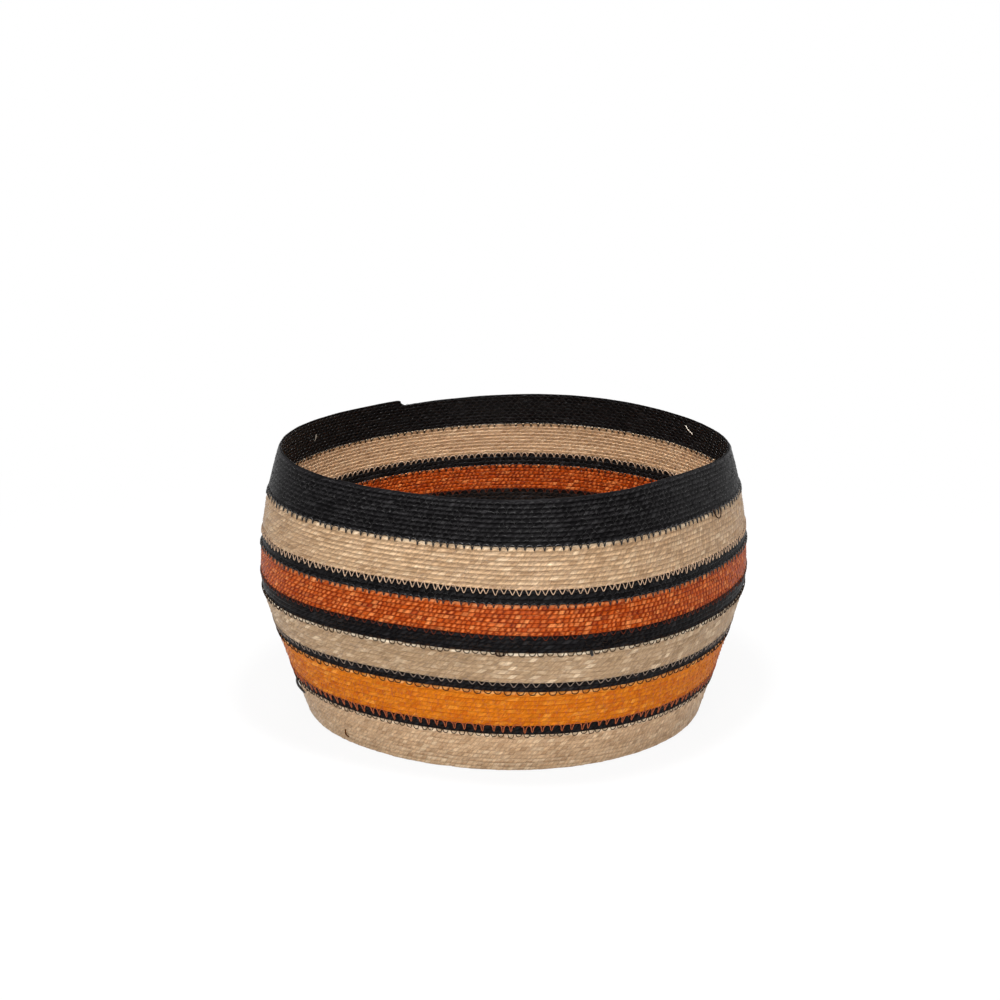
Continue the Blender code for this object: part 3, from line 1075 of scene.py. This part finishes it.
def seam_path(stitches, stitch, row_height, down_by, seed):
    """A zigzag along a lower edge, given where its stitches begin: turns, rows up, stitches along."""
    draw = np.random.default_rng(seed)
    count = len(stitches) - 1
    along, down = np.array(stitch).T
    step = np.diff(stitches)[:, None]
    turn = stitches[:-1, None] + (along[None] + draw.normal(0.0, STITCH_SHIFT, (count, 1))) * step
    jitter = draw.normal(0.0, STITCH_JITTER, (count, 1)) * np.where(down > 0.5, 1.0, UPPER_JITTER_SHARE)
    reach = 1 + REACH_WANDER * wander(turn, 1.0, draw)
    drop = (STITCH_UP - down * (STITCH_UP + down_by)) * reach + jitter
    turn = turn.ravel()
    return turn, drop.ravel() / row_height(turn), (np.arange(count)[:, None] + along[None]).ravel()


print("points in a stitch:", len(OPEN_STITCH), "open,", len(LOOP_STITCH), "looped")

# %% Thread
THREAD_SIDES = 5
INNER_THREAD_SIDES = 4
THREAD_STANDS = 0.7
SUNK_RADIUS = 0.00014
SUNK_DEPTH = 0.00025
SUNK_ROWS_UP = 0.12
GLINT_ROWS_UP = 0.40
GLINT_FADE = 0.08
DRAWN_PROUD = 0.0001
DRAWN_BACK = 0.0002
RING_LEAN = 0.05


def outer_thread_inset(rows_up, _):
    """Where thread lies outside: on the row, and below its lower edge drawn straight over the step."""
    drawn = DRAWN_BACK * np.clip(-rows_up, 0, 1) - DRAWN_PROUD
    return np.where(rows_up >= 0, LAP_STEP * rows_up, drawn)


def sunk_thread_inset(rows_up, glints):
    """Where it lies outside between turns of one colour: in the grass, but for the tops if it glints."""
    shows = glints * np.clip((rows_up - GLINT_ROWS_UP) / GLINT_FADE, 0, 1)
    own = LAP_STEP * rows_up + SUNK_DEPTH * (1 - shows)
    below = LAP_STEP * (1 + rows_up) + SUNK_DEPTH
    return np.where(rows_up >= SUNK_ROWS_UP, own, below)


def inner_thread_inset(rows_up, thickness):
    """Where thread lies inside: on the row below up to its tucked edge, and above that on this row."""
    own = plait_inset(rows_up, 1.0, thickness)
    below = plait_inset(1 + rows_up, 1.0, thickness)
    return np.where(rows_up > TUCKED_SHARE, own, below)


def tube_rings(path, radius, sides):
    """A ring of points round each point of a path, square to it. radius is one number or one for each."""
    ahead = np.gradient(path, axis=0)
    ahead /= np.linalg.norm(ahead, axis=1, keepdims=True)
    away = path * (1, 1, 0) + (0, 0, RING_LEAN)
    side = np.cross(ahead, away)
    side /= np.linalg.norm(side, axis=1, keepdims=True)
    up = np.cross(side, ahead)
    turn = np.linspace(0, 2 * math.pi, sides, endpoint=False)
    spread = np.cos(turn)[None, :, None] * side[:, None] + np.sin(turn)[None, :, None] * up[:, None]
    return path[:, None] + np.reshape(radius, (-1, 1, 1)) * spread


def make_thread(name, path, along, sides, kind, strips, radius):
    rings = tube_rings(path, radius, sides)
    thread = swept_skin(name, rings, along, np.arange(sides + 1) / sides, strips)
    hand_in(thread, THREADS[kind])


print("thread sides:", THREAD_SIDES, "outside and", INNER_THREAD_SIDES, "inside")

# %% Seams of the stripes
SEAM_SEED = 200
INNER_NOTCH_RADIUS = 0.00036
INNER_PULLED_RADIUS = 0.00028


def wall_row_height(turn):
    return row_edge(turn + 1) - row_edge(turn)


def make_stripe_seams(number):
    """Sews a stripe. On its first turn the thread lies over another colour and shows, then it sinks in.

    The lowest stripe goes on in the base's colour, so there it sinks in from the start.
    """
    name, turns, _, dye = BANDS[number]
    first, last = STARTS[number], STARTS[number + 1]
    thread, stitch, length, down_by, bold = SEWING[name]
    round_wall = 2 * math.pi * wall_radius(row_edge((first + last) / 2))
    stitches = np.linspace(first, last, round((last - first) * round_wall / length) + 1)
    shown = round_wall / length if number > 0 else 0
    inner = (NOTCH_STITCH, INNER_NOTCH_RADIUS) if dye == "black" else (PULLED_STITCH, INNER_PULLED_RADIUS)
    for side, shape, width, out, inset_at, sides in (
        ("outer", stitch, bold, -1, outer_thread_inset, THREAD_SIDES),
        ("inner", *inner, 1, inner_thread_inset, INNER_THREAD_SIDES),
    ):
        turn, rows_up, along = seam_path(stitches, shape, wall_row_height, down_by, SEAM_SEED + number)
        sunk = np.clip(along - shown, 0, 1)
        radius = width + (SUNK_RADIUS - width) * sunk
        inset = inset_at(rows_up, PLAIT_THICKNESS) + out * radius * THREAD_STANDS
        if side == "outer":
            inset += (sunk_thread_inset(rows_up, thread == "black") - inset) * sunk
        path = wall_point(turn, rows_up, inset)
        make_thread(f"{name}_{side}_seam", path, along, sides, thread, STRIPS_PER_TURN * turns, radius)
    return len(stitches) - 1


print("stitches round the wall:", sum(make_stripe_seams(number) for number in range(len(BANDS))))

# %% [markdown]
# ## Seams of the base
#
# The same zigzag holds the floor. It is laid on the inside, where it shows. Outside, round the last
# turns, it is pulled into the grass, and it never goes under the floor that the basket stands on.

# %% Seams of the base
BASE_STITCH_LENGTH = 0.0055
BASE_STITCH_DOWN = 0.0025
BASE_THREAD_RADIUS = 0.00024
UNSEWN_TURNS = 1.5
OUTSIDE_TURNS = 1.5
OUTSIDE_STRIPS = 4


def base_row_height(turn):
    return FLOOR_ROW_WIDTH


def make_base_seams():
    sewn = partial(seam_path, row_height=base_row_height, down_by=BASE_STITCH_DOWN)
    stitches = evenly_wound(0.0, BASE_STITCH_LENGTH)
    stitches = stitches[stitches > UNSEWN_TURNS - BASE_TURNS]
    turn, rows_up, along = sewn(stitches, SIMPLE_STITCH, seed=BASE_SEED)
    lift = BASE_THREAD_RADIUS * THREAD_STANDS
    path = base_point(turn, rows_up, inner_thread_inset(rows_up, FLOOR_PLAIT_THICKNESS) + lift)
    sides = INNER_THREAD_SIDES
    make_thread("base_inner_seam", path, along, sides, "natural", FLOOR_STRIPS, BASE_THREAD_RADIUS)
    outside = stitches[stitches > -OUTSIDE_TURNS]
    turn, rows_up, along = sewn(outside, OPEN_STITCH, seed=BASE_SEED + 1)
    path = base_point(turn, rows_up, sunk_thread_inset(rows_up, False))
    path[:, 2] = np.maximum(path[:, 2], SUNK_RADIUS)
    make_thread("base_outer_seam", path, along, THREAD_SIDES, "natural", OUTSIDE_STRIPS, SUNK_RADIUS)
    return len(stitches) - 1


print("stitches in the base:", make_base_seams())

# %% [markdown]
# ## Loose ends
#
# No basket leaves the machine quite clean. Here and there a thread end was left hanging, a stitch was
# doubled or a fibre worked loose, paler or browner than the rest. Each is a short tube through a few
# places on the wall, given as turn, rows up and inset.

# %% Loose ends
# Kind, radius and places
LOOSE_ENDS = {
    "curled_fibre": ("brown_natural", 0.00044, (
        (0.9114, 1.2, 0.0002), (0.9126, 0.8, 0.0004), (0.9129, 0.4, 0.0001),
        (0.9126, 0.0, -0.0003), (0.9117, -0.35, -0.0002), (0.9099, -0.6, 0.0001),
    )),
    "start_tail": ("black", 0.00085, (
        (6.992, -0.2, 0.0006), (6.986, -0.5, -0.0008), (6.979, -0.8, -0.0012),
        (6.973, -1.2, -0.0004), (6.970, -1.5, 0.0008),
    )),
    "doubled_stitch": ("old_black", 0.00056, (
        (25.7786, 1.15, 0.0), (25.7782, 0.55, -0.0003), (25.7772, 0.38, -0.0005),
        (25.7750, 0.34, -0.0005), (25.7741, 0.55, -0.0003), (25.7737, 1.15, 0.0),
    )),
    "knot": ("black", 0.00095, (
        (25.7208, 1.3, 0.0), (25.7206, 0.8, -0.0003), (25.7202, 0.3, -0.0006), (25.7198, 0.1, -0.0002),
    )),
    "hanging_loop": ("old_black", 0.00042, (
        (49.5950, 0.5, -0.0002), (49.5948, -0.5, -0.0008), (49.5935, -1.4, -0.0012),
        (49.5905, -1.8, -0.0013), (49.5872, -1.5, -0.0012), (49.5848, -0.7, -0.0008),
        (49.5842, 0.4, -0.0002),
    )),
    "left_fibre": ("pale_natural", 0.00022, (
        (54.0934, 1.4, 0.0028), (54.0940, 0.5, 0.0030), (54.0946, -0.4, 0.0024),
    )),
    "right_fibre": ("pale_natural", 0.00020, (
        (55.4324, 1.4, 0.0026), (55.4350, 0.5, 0.0034), (55.4384, -0.6, 0.0027),
    )),
}
LOOSE_SAMPLES = 28
LOOSE_SMOOTHINGS = 3


def make_loose_end(name, kind, radius, places):
    places = np.array(places)
    share = np.linspace(0, len(places) - 1, LOOSE_SAMPLES)
    drawn = np.stack([np.interp(share, np.arange(len(places)), column) for column in places.T], axis=-1)
    for _ in range(LOOSE_SMOOTHINGS):
        drawn[1:-1] = (drawn[:-2] + 2 * drawn[1:-1] + drawn[2:]) / 4
    make_thread(name, wall_point(*drawn.T), share, THREAD_SIDES, kind, 1, radius)


for name, loose_end in LOOSE_ENDS.items():
    make_loose_end(name, *loose_end)
print("loose ends:", len(LOOSE_ENDS))

# %% [markdown]
# ## Sizes
#
# The last cell measures how large the frame and the visual model are.

# %% Sizes
low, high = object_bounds()
sizes = {"frame_low": cad_low, "frame_high": cad_high, "visual_low": low, "visual_high": high}
sizes = {name: [float(value) for value in corner] for name, corner in sizes.items()}
print("visual is", in_mm(high - low), "mm")
